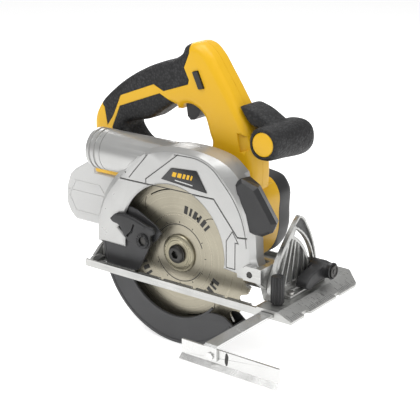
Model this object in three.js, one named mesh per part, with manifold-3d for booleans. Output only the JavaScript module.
// Cordless circular saw, 165 mm blade: an assembly of separate pieces on a common frame.
// Millimetres. +X is the cutting direction, +Z is up, +Y runs from the blade to the motor.
// Z = 0 is the underside of the sole. Depths across the saw are given from the blade plane.
import * as THREE from 'three';
import { mergeVertices } from 'three/addons/utils/BufferGeometryUtils.js';
import Module from 'manifold-3d';

const wasm = await Module();
wasm.setup();

// ---- driving dimensions -------------------------------------------------------------------
const GAP = 0.3;                      // clearance between pieces that meet
const BLADE_Y = -45;                  // blade plane, measured from the frame origin
const ARBOR = [0, 28];                // spindle axis, X and Z
const BLADE_R = 82.5;
const BLADE_HALF = 0.9;
const TEETH = 24;
const BORE_R = 10;
const SOLE = { rear: -98, front: 140, near: -25, far: 102, thick: 2.5, lip: 7 };
const SLOT = { rear: -89, front: 95, near: -14, far: 29 };
const DECK = { rear: 104, top: 8.2 };
const BEVEL_Z = 12;                   // height of the bevel axis
const BEVEL_SLOT_R = 58;
const BEVEL_BOLT = 10;                // angle of the bevel bolt above the sole, degrees
const DEPTH_PIVOT = [92, 33];
const DEPTH_SLOT_R = 135;
const GUARD = { near: -14, far: 14, wall: 2.2 };
const LOWER = { near: -10.8, far: 10, wall: 1.6, r: 88.5, inner: 60 };
const TUBE = { off: 6, z: 111.5, r: 20, bore: 17.5, rear: -104 };
const GEAR = { teeth: 40, pinion: 10, module: 0.92, y0: 20, y1: 28 };
const CENTRES = GEAR.module * (GEAR.teeth + GEAR.pinion) / 2;
const MOTOR_ANGLE = 56;
const MOTOR = [
  ARBOR[0] + CENTRES * Math.cos(MOTOR_ANGLE * Math.PI / 180),
  ARBOR[1] + CENTRES * Math.sin(MOTOR_ANGLE * Math.PI / 180),
];
const DRUM = { x: 23, z: 56, r: 42, near: 18.5, far: 66 };
const HANDLE = { split: 40, half: 15.5 };
const PACK = { near: 20, far: 92 };
const LOCK = { off: 24, z: 36, tip: 21 }; // spindle lock pin, along X
const BAR = { x0: 109.2, x1: 121.6, z0: 2.8, z1: 5.3 };

const COLOUR = {
  alloy: [0xc9c8c4, 0.45, 0.6], steel: [0xb4b2ac, 0.32, 1.0], blade: [0xb3aa92, 0.4, 0.9],
  dark: [0x4a4a4a, 0.55, 0.3], yellow: [0xf0bd20, 0.42, 0.0], rubber: [0x262627, 0.85, 0.0],
  black: [0x1d1d1e, 0.5, 0.0], silver: [0xcfceca, 0.4, 0.35], zinc: [0xdcdcda, 0.3, 0.9],
  copper: [0xb26a35, 0.4, 1.0], grey: [0xcdcdcb, 0.6, 0.0], green: [0x1f4d2f, 0.6, 0.0],
  khaki: [0xa59b73, 0.4, 0.8],
};

const rad = (deg) => deg * Math.PI / 180;
const across = (off) => BLADE_Y + off;

// ---- solids -------------------------------------------------------------------------------
// Closed triangle mesh to a manifold solid: welded, degenerate triangles dropped, facing out.
function solid(geometry) {
  const g = geometry.index ? geometry.toNonIndexed() : geometry.clone();
  for (const name of Object.keys(g.attributes)) if (name !== 'position') g.deleteAttribute(name);
  const merged = mergeVertices(g, 1e-4);
  const pos = merged.attributes.position.array;
  const idx = merged.index.array;
  const tri = [];
  let volume = 0;
  for (let i = 0; i < idx.length; i += 3) {
    const [a, b, c] = [idx[i], idx[i + 1], idx[i + 2]];
    if (a === b || b === c || a === c) continue;
    tri.push(a, b, c);
    const [ax, ay, az] = pos.slice(3 * a, 3 * a + 3);
    const [bx, by, bz] = pos.slice(3 * b, 3 * b + 3);
    const [cx, cy, cz] = pos.slice(3 * c, 3 * c + 3);
    volume += ax * (by * cz - bz * cy) + ay * (bz * cx - bx * cz) + az * (bx * cy - by * cx);
  }
  if (volume < 0) for (let i = 0; i < tri.length; i += 3) [tri[i], tri[i + 1]] = [tri[i + 1], tri[i]];
  return new wasm.Manifold(new wasm.Mesh({
    numProp: 3, vertProperties: new Float32Array(pos), triVerts: new Uint32Array(tri),
  }));
}

const join = (first, ...rest) => rest.reduce((sum, s) => sum.add(s), first);
const cut = (body, ...tools) => tools.reduce((left, s) => left.subtract(s), body);

// Outline without the corners that lie on a straight edge.
function corners(points) {
  return points.filter(([x, y], i) => {
    const [px, py] = points[(i + points.length - 1) % points.length];
    const [nx, ny] = points[(i + 1) % points.length];
    return Math.abs((x - px) * (ny - y) - (y - py) * (nx - x)) > 1e-7;
  });
}

const shapeOf = (points) => new THREE.Shape(corners(points).map(([a, b]) => new THREE.Vector2(a, b)));

function extruded(points, depth, bevel) {
  const options = { depth, bevelEnabled: false, curveSegments: 24 };
  if (bevel) {
    Object.assign(options, {
      depth: depth - 2 * bevel.size, bevelEnabled: true, bevelSize: bevel.size,
      bevelOffset: -bevel.size, bevelThickness: bevel.size, bevelSegments: bevel.steps ?? 2,
    });
  }
  const g = new THREE.ExtrudeGeometry(shapeOf(points), options);
  if (bevel) g.translate(0, 0, bevel.size);
  return g;
}

// Flat pieces: outline in X-Z, thickness between two depths across the saw.
function sheetXZ(points, off0, off1, holes = [], bevel = null) {
  const g = extruded(points, off1 - off0, bevel);
  g.rotateX(Math.PI / 2);
  g.translate(0, across(off1), 0);
  return cut(solid(g), ...holes.map((hole) => sheetXZ(hole, off0 - 1, off1 + 1)));
}

// Flat pieces across the saw: outline in (depth from the blade, Z), thickness along X.
function sheetYZ(points, x0, x1, holes = [], bevel = null) {
  const g = extruded(points, x1 - x0, bevel);
  const turn = new THREE.Matrix4().makeBasis(
    new THREE.Vector3(0, 1, 0), new THREE.Vector3(0, 0, 1), new THREE.Vector3(1, 0, 0));
  g.applyMatrix4(turn);
  g.translate(x0, BLADE_Y, 0);
  return cut(solid(g), ...holes.map((hole) => sheetYZ(hole, x0 - 1, x1 + 1)));
}

// Flat pieces in plan: outline in (X, depth from the blade), thickness along Z.
function sheetXY(points, z0, z1, holes = [], bevel = null) {
  const g = extruded(points, z1 - z0, bevel);
  g.translate(0, BLADE_Y, z0);
  return cut(solid(g), ...holes.map((hole) => sheetXY(hole, z0 - 1, z1 + 1)));
}

function block(x0, x1, off0, off1, z0, z1) {
  const g = new THREE.BoxGeometry(x1 - x0, off1 - off0, z1 - z0);
  g.translate((x0 + x1) / 2, across((off0 + off1) / 2), (z0 + z1) / 2);
  return solid(g);
}

// Turned pieces: profile of [radius, distance along the axis], closed by itself or on the axis.
function turned(profile, axis, at, steps = 24) {
  const pts = profile.map(([r, t]) => new THREE.Vector2(Math.max(r, 0), t));
  if (profile[0][0] > 0 || profile[profile.length - 1][0] > 0) pts.push(pts[0].clone());
  const g = new THREE.LatheGeometry(pts, steps);
  if (axis === 'X') g.rotateZ(-Math.PI / 2);
  if (axis === 'Z') g.rotateX(Math.PI / 2);
  if (axis === 'X') g.translate(0, at[0], at[1]);
  if (axis === 'Y') g.translate(at[0], 0, at[1]);
  if (axis === 'Z') g.translate(at[0], at[1], 0);
  return solid(g);
}

const rodY = (x, z, r, off0, off1, steps = 20) =>
  turned([[0, across(off0)], [r, across(off0)], [r, across(off1)], [0, across(off1)]], 'Y', [x, z], steps);
const rodX = (off, z, r, x0, x1, steps = 16) =>
  turned([[0, x0], [r, x0], [r, x1], [0, x1]], 'X', [across(off), z], steps);
const ringY = (x, z, r0, r1, off0, off1, steps = 24) =>
  turned([[r0, across(off0)], [r1, across(off0)], [r1, across(off1)], [r0, across(off1)]], 'Y', [x, z], steps);
const rodZ = (x, off, r, z0, z1, steps = 20) =>
  turned([[0, z0], [r, z0], [r, z1], [0, z1]], 'Z', [x, across(off)], steps);

function arc(cx, cz, r, a0, a1, steps) {
  const pts = [];
  for (let i = 0; i <= steps; i++) {
    const a = rad(a0 + (a1 - a0) * i / steps);
    pts.push([cx + r * Math.cos(a), cz + r * Math.sin(a)]);
  }
  return pts;
}

const circle = (cx, cz, r, steps = 24) => arc(cx, cz, r, 0, 360 - 360 / steps, steps - 1);

// Slot that follows an arc, with round ends.
function arcSlot(cx, cz, r, half, a0, a1, steps = 10) {
  const end = (a, side) => {
    const c = [cx + r * Math.cos(rad(a)), cz + r * Math.sin(rad(a))];
    return side > 0 ? arc(c[0], c[1], half, a, a + 180, 4) : arc(c[0], c[1], half, a + 180, a + 360, 4);
  };
  return [
    ...arc(cx, cz, r + half, a0, a1, steps), ...end(a1, 1).slice(1, -1),
    ...arc(cx, cz, r - half, a1, a0, steps), ...end(a0, -1).slice(1, -1),
  ];
}

// Moves each corner of an outline inwards along its bisector.
function inset(points, d) {
  let area = 0;
  points.forEach(([x, y], i) => {
    const [u, v] = points[(i + 1) % points.length];
    area += x * v - u * y;
  });
  const s = area > 0 ? 1 : -1;
  return points.map(([x, y], i) => {
    const [px, py] = points[(i + points.length - 1) % points.length];
    const [nx, ny] = points[(i + 1) % points.length];
    const a = Math.hypot(x - px, y - py);
    const b = Math.hypot(nx - x, ny - y);
    const n1 = [-(y - py) / a * s, (x - px) / a * s];
    const n2 = [-(ny - y) / b * s, (nx - x) / b * s];
    const k = d / (1 + n1[0] * n2[0] + n1[1] * n2[1]);
    return [x + (n1[0] + n2[0]) * k, y + (n1[1] + n2[1]) * k];
  });
}

// Closed skin through outlines of equal length, each at its own depth from the blade.
function lofted(sections) {
  const n = sections[0].points.length;
  const v = [];
  for (const s of sections) for (const [x, z] of s.points) v.push([x, across(s.off), z]);
  const faces = [];
  for (let k = 0; k + 1 < sections.length; k++) {
    for (let i = 0; i < n; i++) {
      const j = (i + 1) % n;
      faces.push([k * n + i, k * n + j, (k + 1) * n + j], [k * n + i, (k + 1) * n + j, (k + 1) * n + i]);
    }
  }
  const cap = (k, flip) => {
    const flat = sections[k].points.map(([x, z]) => new THREE.Vector2(x, z));
    for (const [a, b, c] of THREE.ShapeUtils.triangulateShape(flat, [])) {
      faces.push(flip ? [k * n + c, k * n + b, k * n + a] : [k * n + a, k * n + b, k * n + c]);
    }
  };
  const ccw = THREE.ShapeUtils.area(sections[0].points.map(([x, z]) => new THREE.Vector2(x, z))) > 0;
  cap(0, ccw);
  cap(sections.length - 1, !ccw);
  const g = new THREE.BufferGeometry();
  const flatPos = [];
  for (const f of faces) for (const i of f) flatPos.push(...v[i]);
  g.setAttribute('position', new THREE.Float32BufferAttribute(flatPos, 3));
  return solid(g);
}

const saw = new THREE.Group();

function piece(name, body, look) {
  const mesh = body.decompose().sort((a, b) => b.volume() - a.volume()).filter(
    (s, i) => i === 0 || s.volume() > 0.5).reduce((a, b) => a.add(b)).getMesh();
  const g = new THREE.BufferGeometry();
  const count = mesh.vertProperties.length / mesh.numProp;
  const pos = new Float32Array(count * 3);
  for (let i = 0; i < count; i++) {
    for (let k = 0; k < 3; k++) pos[3 * i + k] = mesh.vertProperties[i * mesh.numProp + k];
  }
  g.setAttribute('position', new THREE.BufferAttribute(pos, 3));
  g.setIndex(new THREE.BufferAttribute(new Uint32Array(mesh.triVerts), 1));
  g.computeVertexNormals();
  const [color, roughness, metalness] = COLOUR[look];
  const node = new THREE.Mesh(g, new THREE.MeshStandardMaterial({ color, roughness, metalness }));
  node.name = name;
  saw.add(node);
  return body;
}

// ---- sole ---------------------------------------------------------------------------------
const KNOB = [115.4, -9.5];
const knobHole = rodZ(KNOB[0], KNOB[1], 2.9, 3, 12, 16);

const solePlan = [
  [SOLE.rear, SOLE.near], [SOLE.rear, SOLE.far - 8], [SOLE.rear + 8, SOLE.far],
  [DECK.rear + 2, SOLE.far], [DECK.rear + 2, SOLE.near],
];
const slotPlan = [
  [SLOT.rear, SLOT.near], [SLOT.front, SLOT.near], [SLOT.front, SLOT.far], [SLOT.rear, SLOT.far],
];
// Raised front deck with the channel that the guide bar runs in, and the sloping nose.
const deckProfile = [
  [100, 0], [107.6, 0], [107.6, 5.9], [123.2, 5.9], [123.2, 0], [140, 0], [140, 2.2],
  [125.5, DECK.top], [DECK.rear, DECK.top], [100, SOLE.thick],
];
const noseNotches = [
  sheetXY([[136.5, -3.5], [145, -3.5], [145, 6], [136.5, 6]], -2, 12),
  sheetXY([[137.5, 50], [145, 50], [145, 57], [137.5, 57]], -2, 12),
  sheetXY([[145, 66], [145, 110], [112, 110], [119, 104.5], [138.6, 88]], -2, 12),
];
// Room behind the deck for the foot of the tilting arm.
const armSweep = block(99, DECK.rear + 0.45, -11.5, 18.5, 3, 9);
const sole = cut(
  join(
    sheetXY(solePlan, 0, SOLE.thick, [slotPlan]),
    sheetXZ(deckProfile, SOLE.near, SOLE.far),
    block(SOLE.rear, 128, SOLE.near, SOLE.near + 2.5, 0, SOLE.lip),
    block(SOLE.rear + 8, 106, SOLE.far - 2.2, SOLE.far, 0, SOLE.lip),
    block(SOLE.rear, SOLE.rear + 2.2, -20, SOLE.far - 9, 0, 5),
  ),
  block(BAR.x0 - 0.6, BAR.x1 + 0.6, SOLE.near - 1, SOLE.near + 3, BAR.z0 - 0.3, BAR.z1 + 0.5),
  armSweep, knobHole, ...noseNotches,
);
piece('base_plate', sole, 'alloy');

// ---- front quadrant and rear bracket -------------------------------------------------------
const FRONT = { x0: 104.6, x1: 108.6 };
const bolt = [
  BEVEL_SLOT_R * Math.cos(rad(BEVEL_BOLT)), BEVEL_Z + BEVEL_SLOT_R * Math.sin(rad(BEVEL_BOLT)),
];
const quadrantOutline = [
  [-9, 8.5], [-10, 14], [-9, 26], [1.5, 43.5], [16, 60], [31, 74], [35, 76.6], [39.5, 75], [49.5, 63.5],
  [57.5, 50], [63, 36], [65.5, 22], [65.5, 8.5],
];
const quadrantWindows = [
  [[6, 19], [11, 19], [13.5, 44], [6, 35]],
  [[16, 19], [26, 19], [27.5, 50.5], [24.5, 56], [17, 48]],
  [[31, 19], [38, 19], [42, 22], [46.5, 26], [43.5, 36], [36, 46], [33.5, 48]],
];
piece('front_bevel_quadrant', cut(
  join(
    sheetYZ(quadrantOutline, FRONT.x0, FRONT.x1,
      [arcSlot(0, BEVEL_Z, BEVEL_SLOT_R, 3.4, 5, 61, 12), circle(0, BEVEL_Z, 2.9, 16), ...quadrantWindows]),
    block(FRONT.x0, 119, 6, 64, DECK.top + GAP, DECK.top + 2.6),
  ),
  rodZ(115, 12, 2.4, 5, 14, 12), rodZ(115, 56, 2.4, 5, 14, 12),
), 'alloy');
['front', 'rear'].forEach((end, i) => {
  piece(`quadrant_screw_${end}`, join(
    rodZ(115, i ? 56 : 12, 3.6, DECK.top + 2.9, DECK.top + 4.9, 16),
    rodZ(115, i ? 56 : 12, 1.9, 8.6, DECK.top + 3, 12),
  ), 'steel');
});

const rearOutline = [[-22, 2.8], [24, 2.8], [24, 9], [20, 17], [10, 20.5], [0, 20.5], [-8, 17], [-22, 6]];
piece('rear_bevel_bracket', cut(
  join(
    sheetYZ(rearOutline, -95.4, -92.4, [circle(0, BEVEL_Z, 2.9, 16)]),
    block(-95.5, -89.6, 30.2, 40, 2.8, 4.8), block(-95.4, -92.4, 20, 40, 2.8, 6),
  ),
  block(-96, -92, -19.5, -9, 8.6, 9.4),
), 'alloy');

// ---- bevel carriage ------------------------------------------------------------------------
const ARM = { x0: 98.6, x1: 104.2 };
const armFront = [
  [-6, 6.5], [8, 6.5], [50, 14.5], [59, 14], [64, 19], [64, 26], [58, 30], [50, 29], [16, 23], [9.5, 28],
  [9.5, 40.5], [-19.6, 40.5], [-19.6, 27], [-11, 20], [-9, 14],
];
const ear = (off0, off1) => sheetXZ(
  [[84, 29], [86, 27], [100, 27], [100, 40.5], [88, 40.5], [84, 37.5]], off0, off1);
const depthPinHole = rodY(DEPTH_PIVOT[0], DEPTH_PIVOT[1], 3.3, -25, 25, 20);
piece('bevel_arm', cut(
  join(sheetYZ(armFront, ARM.x0, ARM.x1), ear(-19.6, -14.5), ear(4.6, 9.5)),
  depthPinHole, rodX(0, BEVEL_Z, 2.9, 90, 112, 16), rodX(bolt[0], bolt[1], 3.4, 90, 112, 16),
), 'alloy');
piece('front_bevel_pin', join(
  rodX(0, BEVEL_Z, 2.6, 95.8, 109.5), rodX(0, BEVEL_Z, 3.2, 108.9, 110.4), rodX(0, BEVEL_Z, 4.2, 95.6, 98.3),
), 'steel');
piece('depth_pivot_pin', join(
  rodY(DEPTH_PIVOT[0], DEPTH_PIVOT[1], 3, -19.4, 10.5, 20),
  rodY(DEPTH_PIVOT[0], DEPTH_PIVOT[1], 5, 9.8, 12, 20),
), 'steel');

const depthBolt = [DEPTH_PIVOT[0] - DEPTH_SLOT_R, DEPTH_PIVOT[1]];
const depthStrip = [
  ...arc(...DEPTH_PIVOT, DEPTH_SLOT_R + 8, 141, 181, 12),
  [-58, 23], [-84, 19], [-88.8, 19], [-88.8, 5.5], [-80, 5.5], [-50, 9], [-38, 14],
  ...arc(...DEPTH_PIVOT, DEPTH_SLOT_R - 8, 185, 141, 13),
];
piece('depth_quadrant', cut(
  join(
    sheetXZ(depthStrip, 14.6, 17, [arcSlot(...DEPTH_PIVOT, DEPTH_SLOT_R, 3.3, 142.5, 181.5, 14)]),
    sheetYZ([[-7, 8], [-4, 5.5], [17, 5.5], [17, 19], [-4, 19], [-7, 16]], -91.8, -88.7),
  ),
  rodX(0, BEVEL_Z, 2.9, -96, -84, 16),
), 'alloy');
piece('rear_bevel_pin', join(
  rodX(0, BEVEL_Z, 2.6, -97, -87.6), rodX(0, BEVEL_Z, 4.4, -97.8, -95.7), rodX(0, BEVEL_Z, 3.8, -88.5, -87.3),
), 'steel');

// ---- bevel lock lever ----------------------------------------------------------------------
piece('bevel_lock_bolt', join(
  rodX(bolt[0], bolt[1], 3, 97.6, 131.5, 16), rodX(bolt[0], bolt[1], 5.2, 94.8, 98.2, 6),
), 'steel');
piece('bevel_lock_lever', cut(
  join(
    rodX(bolt[0], bolt[1], 8.6, 109.2, 132, 20),
    sheetYZ([[bolt[0] - 4, bolt[1] + 7], [bolt[0] - 7, bolt[1] - 7], [bolt[0] - 30, bolt[1] - 10.5],
      [bolt[0] - 34, bolt[1] - 8], [bolt[0] - 33, bolt[1] - 3], [bolt[0] - 20, bolt[1] + 3]], 113, 125),
  ),
  rodX(bolt[0], bolt[1], 3.3, 105, 131.8, 16), rodX(bolt[0], bolt[1], 6.6, 131.4, 135, 16),
), 'black');
piece('bevel_lever_cap', rodX(bolt[0], bolt[1], 6.2, 131.8, 133.6, 16), 'zinc');

// ---- guide bar clamp and parallel guide ----------------------------------------------------
const ribs = [];
for (let i = 0; i < 12; i++) {
  ribs.push(...arc(KNOB[0], KNOB[1], 6.2, i * 30 - 6, i * 30 + 6, 1), ...arc(KNOB[0], KNOB[1], 5.4, i * 30 + 11,
    i * 30 + 19, 1));
}
piece('guide_clamp_knob', join(
  sheetXY(ribs, 9.5, 35), rodZ(KNOB[0], KNOB[1], 4.4, 8.6, 10, 16), rodZ(KNOB[0], KNOB[1], 2.5, 5.6, 9, 16),
), 'black');

const FENCE = -104;
piece('edge_guide_bar', cut(join(
  block(BAR.x0, BAR.x1, FENCE, 96, BAR.z0, BAR.z1),
  sheetYZ([[FENCE - 3.4, -8], [FENCE - 1.3, -8], [FENCE - 1.3, BAR.z0], [FENCE + 4, BAR.z0],
    [FENCE + 4, BAR.z1], [FENCE - 1.5, BAR.z1], [FENCE - 3.4, BAR.z1 - 2]], BAR.x0, BAR.x1),
), rodY(115.4, -4.5, 1.9, FENCE - 8, FENCE + 4, 12)), 'zinc');
const fenceSection = [
  [FENCE - 1, 1.6], [FENCE + 0.9, 1.6], [FENCE + 0.9, -11.5], [FENCE - 4.5, -16], [FENCE - 5.6, -14.4],
  [FENCE - 1, -10.6],
];
piece('edge_guide_fence', cut(
  sheetYZ(fenceSection, 84, 181), rodY(115.4, -4.5, 1.9, FENCE - 8, FENCE + 4, 12),
), 'zinc');
piece('fence_rivet', join(
  rodY(115.4, -4.5, 1.6, FENCE - 4, FENCE + 1.5, 12), rodY(115.4, -4.5, 3.2, FENCE - 5, FENCE - 3.7, 12),
  rodY(115.4, -4.5, 2.6, FENCE + 1.2, FENCE + 2.2, 12),
), 'steel');

// ---- upper guard ---------------------------------------------------------------------------
// Outline of the side face and of the deeper rim, point for point.
const guardFace = [
  [-90.5, 26], [-90, 38], [-87, 52.5], [-81.5, 66.5], [-73, 80], [-61, 94], [-47, 108.5], [-31, 120.5],
  [-8, 127.5], [14, 129.5], [34, 128.5], [48, 123], [60, 112], [72, 98.5], [80.5, 84], [86, 66],
  [88, 50], [88.5, 44], [93.2, 38.2], [96.8, 34], [95.5, 29.4], [91, 27.6], [82, 25],
];
const guardRim = [
  [-96, 22], [-95, 38], [-92, 54], [-86, 70], [-77, 85], [-64, 99], [-50, 113], [-32, 124],
  [-8, 131], [14, 132.5], [36, 131], [54, 126.5], [70, 116], [80, 101], [86, 85], [90, 67],
  [91.4, 50], [91.4, 44.5], [94, 38], [96.9, 34], [95.6, 29.3], [91, 27.4], [82, 22],
];
// Inner outlines leave the lug round the depth pivot solid.
const inner = (points) => [...points.slice(0, -5), [88.4, 38], [88.3, 33], [88.2, 28], [86, 26], [82, 24]];
const guardSkin = (d) => lofted([
  { off: GUARD.near - d, points: inset(guardFace, -d) }, { off: -8, points: inset(guardRim, -d) },
  { off: 4 + d, points: inset(guardRim, -d) },
]);
const guardBack = [
  [-96, 22], [-95, 38], [-92, 54], [-86, 70], [-77, 85], [-64, 99], [-50, 113], [-32, 124],
  [-8, 131], [14, 132.5], [36, 131], [54, 126.5], [68, 116], [72, 100], [70, 80], [63, 60], [60, 40], [60, 22],
];
const [AX, AZ] = ARBOR;
const cavityNear = lofted([
  { off: GUARD.near + GUARD.wall, points: inset(inner(guardFace), 0.9) }, { off: -8, points: inset(inner(guardRim), 2.6) },
  { off: 2.2, points: inset(inner(guardRim), 2.6) },
]);
const windowCut = sheetXZ([
  [-57, 10], [-57, 30], [-56.5, 36], [-65.5, 43.5], [-61, 50], ...arc(0, 37, 60, 159, -7, 22),
  [74, 28.5], [76, 10],
], -16, -10);
const tubeShell = cut(rodX(TUBE.off, TUBE.z, TUBE.r, -86, -8, 28), block(-46, 0, GUARD.far, 40, 80, 140));
const guardOuter = join(guardSkin(0), sheetXZ(guardBack, 3, GUARD.far), tubeShell);
piece('upper_guard', cut(
  join(
    cut(
      guardOuter, cavityNear, sheetXZ(inset(guardBack, 2.6), 1, 11.8),
      block(-88, 86, -11.8, 2.2, 10, 30), block(-90, 57, -11.8, 11.8, 10, 30),
      cut(rodX(TUBE.off, TUBE.z, TUBE.bore, -90, -40, 28), block(-50, 0, 11.8, 40, 80, 140)),
    ),
    ringY(AX, AZ, 13.9, 17.5, 5.4, 13, 28),
  ),
  windowCut, rodY(AX, AZ, 13.9, 4, 20, 28), rodY(DEPTH_PIVOT[0], DEPTH_PIVOT[1], 3.3, -16, 8, 20),
  rodY(depthBolt[0], depthBolt[1], 3.3, 8, 18, 16),
), 'silver');

piece('dust_port_collar', turned([
  [TUBE.bore, TUBE.rear], [19.4, TUBE.rear], [20.2, -103], [20.2, -100], [19.5, -99.6], [19.5, -98.6],
  [20.2, -98.2], [20.2, -94], [19.5, -93.6], [19.5, -92.6], [20.2, -92.2], [20.2, -86.3], [TUBE.bore, -86.3],
], 'X', [across(TUBE.off), TUBE.z], 28), 'silver');
piece('label_plate', sheetXZ([[1.4, 113.8], [30.1, 115.7], [41.7, 97.1], [-10.3, 101.5]], -14.9, -14.3), 'black');

// Moulded block on the front of the guard rim.
piece('front_cover', cut(
  lofted([
    { off: -12, points: [[72, 108], [78, 113], [90, 108], [109, 81], [106, 74], [97, 69.5], [80, 69.5]] },
    { off: -9, points: [[68, 110], [75, 116], [93, 110.5], [113, 82], [109, 73], [98, 67], [76, 67]] },
    { off: 9, points: [[64, 108], [72, 113], [83, 107], [103, 78], [100, 70], [92, 66], [74, 66]] },
  ]),
  guardSkin(0.3), sheetXZ(inset(guardBack, -0.3), -2, 14.5),
), 'black');

// ---- lower guard ---------------------------------------------------------------------------
const lowerEnds = [-38, -208];
const lowerNear = [
  ...arc(AX, AZ, 87.6, ...lowerEnds, 30), [-60, 68], [-43, 64], [-20, 52.5], [-14, 46.5], [-19, 39.5],
  [-27, 33], [-42, 5], ...arc(AX, AZ, LOWER.inner, -151, -38, 18),
];
const lowerFar = [
  ...arc(AX, AZ, 87.6, ...lowerEnds, 30), ...arc(AX, AZ, 21, -208, -38, 10),
];
const rimBand = [...arc(AX, AZ, 87.6, ...lowerEnds, 30), ...arc(AX, AZ, 85.8, -208, -38, 30)];
const LEVER_AT = [-30, 38];
piece('lower_guard', cut(
  join(
    sheetXZ(lowerNear, LOWER.near, LOWER.near + LOWER.wall), sheetXZ(rimBand, LOWER.near, LOWER.far),
    sheetXZ(lowerFar, LOWER.far - LOWER.wall, LOWER.far), ringY(AX, AZ, 17.9, 22, 6, LOWER.far, 28),
  ),
  rodY(AX, AZ, 17.9, 4, 14, 28), rodY(...LEVER_AT, 2.3, -14, -6, 12),
), 'dark');
piece('lift_lever', cut(
  join(
    sheetXZ([[-71, 52.5], [-69, 50], [-60.5, 47.5], [-57, 44], [-54.5, 38.5], [-49, 34.5], [-44, 33.5], [-37, 30.5],
      [-30, 30], [-24, 32.5], [-21.5, 37], [-22, 43], [-16, 47.5], [-17, 51], [-27, 54], [-42, 58.5], [-56, 60],
      [-64, 58.5]], -19, -15.2),
    rodY(...LEVER_AT, 7.2, -20, -11.1, 20),
  ),
  rodY(...LEVER_AT, 4.2, -22, -16, 16), rodY(...LEVER_AT, 2.3, -24, -6, 12),
), 'black');
piece('lever_screw', join(
  rodY(...LEVER_AT, 3.8, -18.4, -16.3, 16), rodY(...LEVER_AT, 2, -17, -8.2, 12),
), 'steel');
// Torsion spring that closes the lower guard, lying round its hub.
const springPath = [];
for (let i = 0; i <= 60; i++) {
  const a = rad(20 + i * 18);
  springPath.push(new THREE.Vector3(
    AX + 20.4 * Math.cos(a), across(10.9 + i * 0.013), AZ + 20.4 * Math.sin(a)));
}
const springWire = new THREE.ExtrudeGeometry(new THREE.Shape(
  circle(0, 0, 0.35, 6).map(([a, b]) => new THREE.Vector2(a, b))), {
  steps: 24, bevelEnabled: false, extrudePath: new THREE.CatmullRomCurve3(springPath.slice(0, 21)),
});
piece('guard_spring', solid(springWire), 'steel');

// ---- blade and spindle ---------------------------------------------------------------------
const teeth = [];
for (let i = 0; i < TEETH; i++) {
  const a = (i + 0.35) * 360 / TEETH;
  for (const [r, d] of [[BLADE_R - 1.5, -7.2], [BLADE_R, -1.2], [BLADE_R - 5.5, 0], [BLADE_R - 8.5, 2.4],
    [BLADE_R - 7, 5]]) {
    teeth.push([AX + r * Math.cos(rad(a + d)), AZ + r * Math.sin(rad(a + d))]);
  }
}
const reliefs = [];
for (let i = 0; i < 4; i++) {
  reliefs.push(arcSlot(AX, AZ, 61, 0.9, i * 90 + 8, i * 90 + 34, 6));
  reliefs.push(circle(...[AX + 43 * Math.cos(rad(i * 90 + 60)), AZ + 43 * Math.sin(rad(i * 90 + 60))], 2, 10));
}
piece('saw_blade', sheetXZ(teeth, -BLADE_HALF, BLADE_HALF, [circle(AX, AZ, BORE_R, 32), ...reliefs]), 'blade');
piece('inner_flange', turned([
  [7.3, across(4.2)], [18, across(4.2)], [18, across(1.8)], [17, across(1.2)], [9.7, across(1.2)],
  [9.7, across(-0.6)], [7.3, across(-0.6)],
], 'Y', ARBOR), 'khaki');
piece('outer_flange', turned([
  [5.4, across(-4)], [13, across(-4.6)], [16.6, across(-4.2)], [18, across(-3)], [18, across(-1.2)],
  [5.4, across(-1.2)],
], 'Y', ARBOR), 'khaki');
piece('arbor_bolt', cut(
  join(
    turned([[0, across(-8.6)], [7.6, across(-8.6)], [9, across(-7.8)], [9, across(-5)], [0, across(-5)]],
      'Y', ARBOR, 28),
    rodY(AX, AZ, 4, -5.5, 15, 16),
  ),
  rodY(AX, AZ, 3.8, -9, -5.6, 6),
), 'steel');
piece('spindle', cut(rodY(AX, AZ, 7, -0.5, 33, 24), rodY(AX, AZ, 4.3, -2, 16, 16)), 'steel');
piece('spindle_bearing', ringY(AX, AZ, 7.3, 13.6, 6.8, 13.6, 28), 'steel');

// Spur gears: the wheel on the spindle and the pinion cut on the motor shaft.
function gearOutline(cx, cz, n, m, phase) {
  const pts = [];
  const r = n * m / 2;
  const step = 360 / n;
  for (let i = 0; i < n; i++) {
    const a = phase + i * step;
    for (const [d, rr] of [[-0.29, r - 1.15 * m], [-0.13, r + 0.72 * m], [0.13, r + 0.72 * m], [0.29, r - 1.15 * m]]) {
      pts.push([cx + rr * Math.cos(rad(a + d * step)), cz + rr * Math.sin(rad(a + d * step))]);
    }
  }
  return pts;
}
piece('spindle_gear', sheetXZ(
  gearOutline(AX, AZ, GEAR.teeth, GEAR.module, MOTOR_ANGLE), GEAR.y0, GEAR.y1, [circle(AX, AZ, 7.3, 24)]), 'steel');

// ---- gear case and motor -------------------------------------------------------------------
const caseOutline = (d) => [
  ...arc(AX, AZ, 20.2 + d, MOTOR_ANGLE + 63.7, MOTOR_ANGLE + 296.3, 16),
  ...arc(MOTOR[0], MOTOR[1], 10 + d, MOTOR_ANGLE - 63.7, MOTOR_ANGLE + 63.7, 8),
];
piece('gear_case', cut(
  sheetXZ(caseOutline(2.2), 14.4, 33),
  sheetXZ(caseOutline(0), 16.6, 34), rodY(AX, AZ, 13.9, 12, 18, 28), rodX(LOCK.off, LOCK.z, 2.4, 15, 30),
), 'alloy');
piece('bearing_plate', cut(
  sheetXZ(caseOutline(2.2), 33.3, 36.6),
  rodY(AX, AZ, 7.4, 33, 34.4, 24), rodY(...MOTOR, 9.3, 33, 38, 24),
), 'alloy');
piece('rotor_shaft', join(
  sheetXZ(gearOutline(...MOTOR, GEAR.pinion, GEAR.module, MOTOR_ANGLE + 180 + 18), 19, 29),
  rodY(...MOTOR, 3.4, 28.5, 81, 16),
), 'steel');
piece('motor_bearing_front', ringY(...MOTOR, 3.7, 9, 33.4, 36.4, 24), 'steel');
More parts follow.
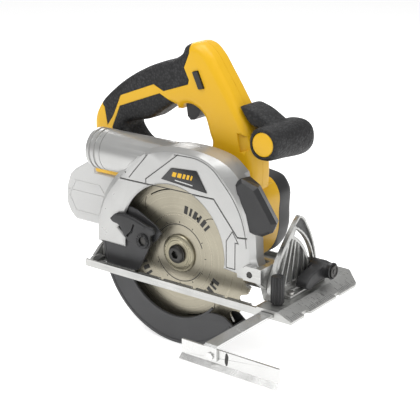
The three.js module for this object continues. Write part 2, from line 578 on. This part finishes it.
piece('motor_bearing_rear', ringY(...MOTOR, 3.7, 8, 77, 81, 24), 'steel');
piece('rotor_core', ringY(...MOTOR, 3.7, 13.8, 42, 64, 24), 'steel');
piece('stator_core', ringY(...MOTOR, 14.8, 24.4, 43, 63, 28), 'dark');
piece('stator_windings', ringY(...MOTOR, 15.2, 22.5, 38, 42.7, 24), 'copper');
const fanBlades = [];
for (let i = 0; i < 7; i++) {
  const a = i * 360 / 7;
  const at = (r, d) => [MOTOR[0] + r * Math.cos(rad(a + d)), MOTOR[1] + r * Math.sin(rad(a + d))];
  fanBlades.push(sheetXZ([at(8, -5), at(23, 4), at(23, 8), at(8, 6)], 69.5, 75));
}
piece('cooling_fan', join(ringY(...MOTOR, 3.7, 22.8, 68, 70, 28), ringY(...MOTOR, 3.7, 9, 68, 75, 24), ...fanBlades),
  'black');

// ---- main housing: motor drum, battery rail and handle loop --------------------------------
const drumOutline = [
  [23, 98], [45, 97.5], [57, 94.5], [65, 84], [65.6, 64], [65, 44], [60, 30], [50, 19], [32, 14], [12, 14],
  [-6, 20], [-17, 36], [-19, 56], [-15, 76], [-3, 91], [9, 97],
];
const handleOuter = [
  [-122, 84], [-122, 94], [-126, 108], [-128, 121], [-127.5, 135], [-119.5, 150], [-102, 166.5], [-82, 180.5],
  [-59, 192.5], [-40, 199.7], [-26, 204.4], [-18.3, 210], [-15.7, 215.5], [-10.3, 219], [-3.3, 220.7],
  [4, 219.3], [14, 211.5], [24, 198], [44, 168.5], [57, 147], [62, 131], [64.5, 112], [64, 92], [50, 82],
  [0, 80], [-60, 82],
];
const handleInner = [
  [-85, 131.5], [-78, 122], [-68, 115.5], [4, 112.5], [11, 118.5], [16, 132.5], [14, 137], [5.5, 156.4],
  [0.5, 160], [-8, 163], [-17, 161.5], [-20, 157.2], [-26.8, 160.5], [-37, 155.6], [-56, 143.2],
];
const handleLoop = (d, w, bevel = null) => cut(
  sheetXZ(inset(handleOuter, d), HANDLE.split - w, HANDLE.split + w, [], bevel),
  sheetXZ(inset(handleInner, -d), HANDLE.split - w - 1, HANDLE.split + w + 1, []),
);
const railBody = (d) => block(-122 + d, -42 - d, 18.5 + d, 66 - d, 80.6 + (d ? -5 : 0), 102 - d);
const upperZone = [
  [-109, 129], [-112.5, 147], [-124, 154], [-110, 185], [-60, 215], [-20, 235], [-8, 222], [-7.5, 211],
  [-13.5, 197.3], [-8, 186.5], [-9, 182], [-38, 172], [-50, 177], [-91, 161.2], [-101, 140],
];
const lowerZone = [
  [-92.6, 150.8], [-43, 169.6], [-27, 162.5], [-22, 150], [-60, 125], [-73, 112], [-97, 112], [-103, 128],
];
const zone = (points, d) => sheetXZ(inset(points, d), 10, 70);
const grip = { size: 5, steps: 2 };
const handleFull = handleLoop(0, HANDLE.half, grip);
const handleCore = handleLoop(2.1, HANDLE.half - 2.1, grip);
const zones = join(zone(upperZone, 0), zone(lowerZone, 0));
const loopBody = join(cut(handleFull, zones), handleCore.intersect(zones));

const caseClear = sheetXZ(caseOutline(2.6), 10, 37);
const housingOuter = join(
  loopBody, railBody(0), sheetXZ(drumOutline, DRUM.near, DRUM.far),
);
const housingHollow = join(
  handleLoop(4.7, HANDLE.half - 4.7), railBody(2.6), block(-118, -70, 21.2, 63, 76, 98),
  sheetXZ(inset(drumOutline, 2.5), DRUM.near + 2.5, DRUM.far + 1),
);
const TRIGGER = { x0: -17, x1: 1, half: 8.5 };
const triggerSlot = block(TRIGGER.x0 - 0.6, TRIGGER.x1 + 0.6, 40 - TRIGGER.half - 0.6, 40 + TRIGGER.half + 0.6,
  150, 174.6);
const BUTTON = [[-3, 194.5], [2.5, 196], [9.5, 181], [4, 179.5]];
const buttonHole = sheetXZ(inset(BUTTON, -0.5), 20, 60);
// The pack's contact tower slides in through the rear of the rail.
const railMouth = block(-124, -100, 41.2, 60.8, 76, 84.8);
const housing = cut(
  housingOuter, housingHollow, caseClear, triggerSlot, buttonHole, railMouth,
  rodX(TUBE.off, TUBE.z, TUBE.r + 0.5, -130, -8, 28), rodX(LOCK.off, LOCK.z, 2.6, 10, 80),
  guardSkin(0.3), sheetXZ(inset(guardBack, -0.3), 2, 14.4),
);
const nearHalf = block(-200, 200, -60, HANDLE.split - 0.15, 0, 260);
const farHalf = block(-200, 200, HANDLE.split + 0.15, 120, 0, 260);
piece('housing_near', housing.intersect(nearHalf), 'yellow');
piece('housing_far', housing.intersect(farHalf), 'yellow');

const gripBlank = cut(handleFull, handleLoop(1.8, HANDLE.half - 1.8, grip));
const tubeClear = rodX(TUBE.off, TUBE.z, TUBE.r + 0.8, -130, -10, 28);
piece('grip_upper', cut(gripBlank.intersect(zone(upperZone, 0.3)), tubeClear), 'rubber');
piece('grip_lower', cut(
  gripBlank.intersect(zone(lowerZone, 0.3)), tubeClear, block(-110, -60, 0, 80, 90, 119)), 'rubber');

piece('motor_end_cap', cut(
  join(
    lofted([
      { off: 66.3, points: drumOutline }, { off: 82, points: inset(drumOutline, 1.2) },
      { off: 90, points: inset(drumOutline, 6.5) }, { off: 92, points: inset(drumOutline, 11) },
    ]),
  ),
  cut(
    lofted([
      { off: 65, points: inset(drumOutline, 2.5) }, { off: 81, points: inset(drumOutline, 3.8) },
      { off: 88.5, points: inset(drumOutline, 9) },
    ]),
    rodY(...MOTOR, 10.5, 76.5, 95, 24),
  ),
  rodY(...MOTOR, 8.3, 76, 82, 24),
  ...[-20, -12, -4, 4, 12, 20].map((d) => block(23 + d - 1.8, 23 + d + 1.8, 86, 94, 70, 88)),
), 'black');

// ---- trigger, lock-off button and electrics ------------------------------------------------
piece('trigger', join(
  sheetXZ([[-16.6, 162], [-15, 150.5], [-11.5, 147.2], [-7, 148], [-2, 152.5], [0.8, 158.5], [0.8, 168],
    [-16.6, 168]], 40 - TRIGGER.half, 40 + TRIGGER.half),
), 'black');
piece('trigger_spring', ringY(-8, 172, 2.2, 3.2, 38, 42, 16), 'steel');
piece('switch_module', block(-37, -5, 32, 48, 175.4, 189), 'black');
piece('lock_off_button', sheetXZ(BUTTON, 22.6, 57.4), 'black');
piece('terminal_block', block(-98, -62, 40, 62, 87, 97.5), 'black');

// ---- front handle --------------------------------------------------------------------------
const auxAxis = [84, 141.5];
const auxBar = [];
for (const [off, r, dz] of [[9.6, 12.6, 1.6], [11.5, 14.6, 1.5], [22, 15.4, 1], [45, 16.4, 0], [60, 17, -0.6],
  [70, 15.5, -1], [76, 11, -1.2], [78.4, 5, -1.3]]) {
  auxBar.push({ off, points: circle(auxAxis[0], auxAxis[1] + dz, r, 20) });
}
piece('front_handle', cut(
  join(
    lofted(auxBar),
    sheetXZ([[44.4, 170.5], [50, 171.5], [62, 169], [84, 157.8], [84, 130], [72, 136], [70, 151], [59, 152.5]],
      26, 54, [], { size: 3, steps: 1 }),
  ),
  sheetXZ(inset(handleOuter, -0.3), 20, 60), rodY(auxAxis[0], auxAxis[1] + 1.6, 11.3, 8, 12.2, 20),
), 'rubber');
piece('front_handle_cap', rodY(auxAxis[0], auxAxis[1] + 1.6, 11, 9.2, 11.9, 20), 'yellow');

// ---- spindle lock and depth lock -----------------------------------------------------------
piece('spindle_lock_button', join(
  rodX(LOCK.off, LOCK.z, 2, LOCK.tip, 69), rodX(LOCK.off, LOCK.z, 6, 68.9, 73)), 'dark');
piece('depth_lock_bolt', join(
  rodY(...depthBolt, 3, 10.6, 24.5, 16), rodY(...depthBolt, 5.4, 10.35, 11.6, 6)), 'steel');
piece('depth_lock_lever', cut(
  join(
    rodY(...depthBolt, 7.2, 17.6, 23.6, 18),
    sheetXZ([[-47.5, 33], [-47, 66], [-44.5, 70], [-40.5, 70], [-38, 66], [-38.5, 33]], 17.5, 19.7),
  ),
  rodY(...depthBolt, 3.3, 14, 28, 16),
), 'black');

// ---- battery pack --------------------------------------------------------------------------
const packOutline = [
  [-54, 26], [-54, 80], [-122.6, 80], [-122.6, 90.5], [-131, 90.5], [-152, 78], [-159, 71], [-164, 58],
  [-165, 41], [-160, 31], [-152.5, 24.5], [-56, 24.5],
];
const packBevel = { size: 2, steps: 1 };
const packFull = sheetXZ(packOutline, PACK.near, PACK.far, [], packBevel);
const packHollow = sheetXZ(inset(packOutline, 2.6), PACK.near + 2.6, PACK.far - 2.6);
const packSplit = 56;
const latchHole = block(-142, -127, 44, 68, 60, 100);
piece('battery_lower_case', cut(
  packFull, packHollow, block(-200, 0, 0, 120, packSplit - 0.15, 200)), 'grey');
piece('battery_upper_case', cut(
  join(packFull, block(-100, -60, 42, 60, 79, 84)), packHollow,
  block(-200, 0, 0, 120, -20, packSplit + 0.15), latchHole), 'grey');
piece('battery_latch', sheetXZ(
  [[-141, 76], [-128, 76], [-128, 88.2], [-131, 88.6], [-141, 82.8]], 44.6, 67.4), 'dark');
const cells = [];
for (let i = 0; i < 5; i++) for (const z of [38, 60]) cells.push(rodY(-146.5 + i * 19.8, z, 9.4, 24, 88, 10));
piece('cell_pack', join(block(-150, -58, 30, 34, 32, 68), block(-150, -58, 78, 82, 32, 68), ...cells), 'green');

export default saw;
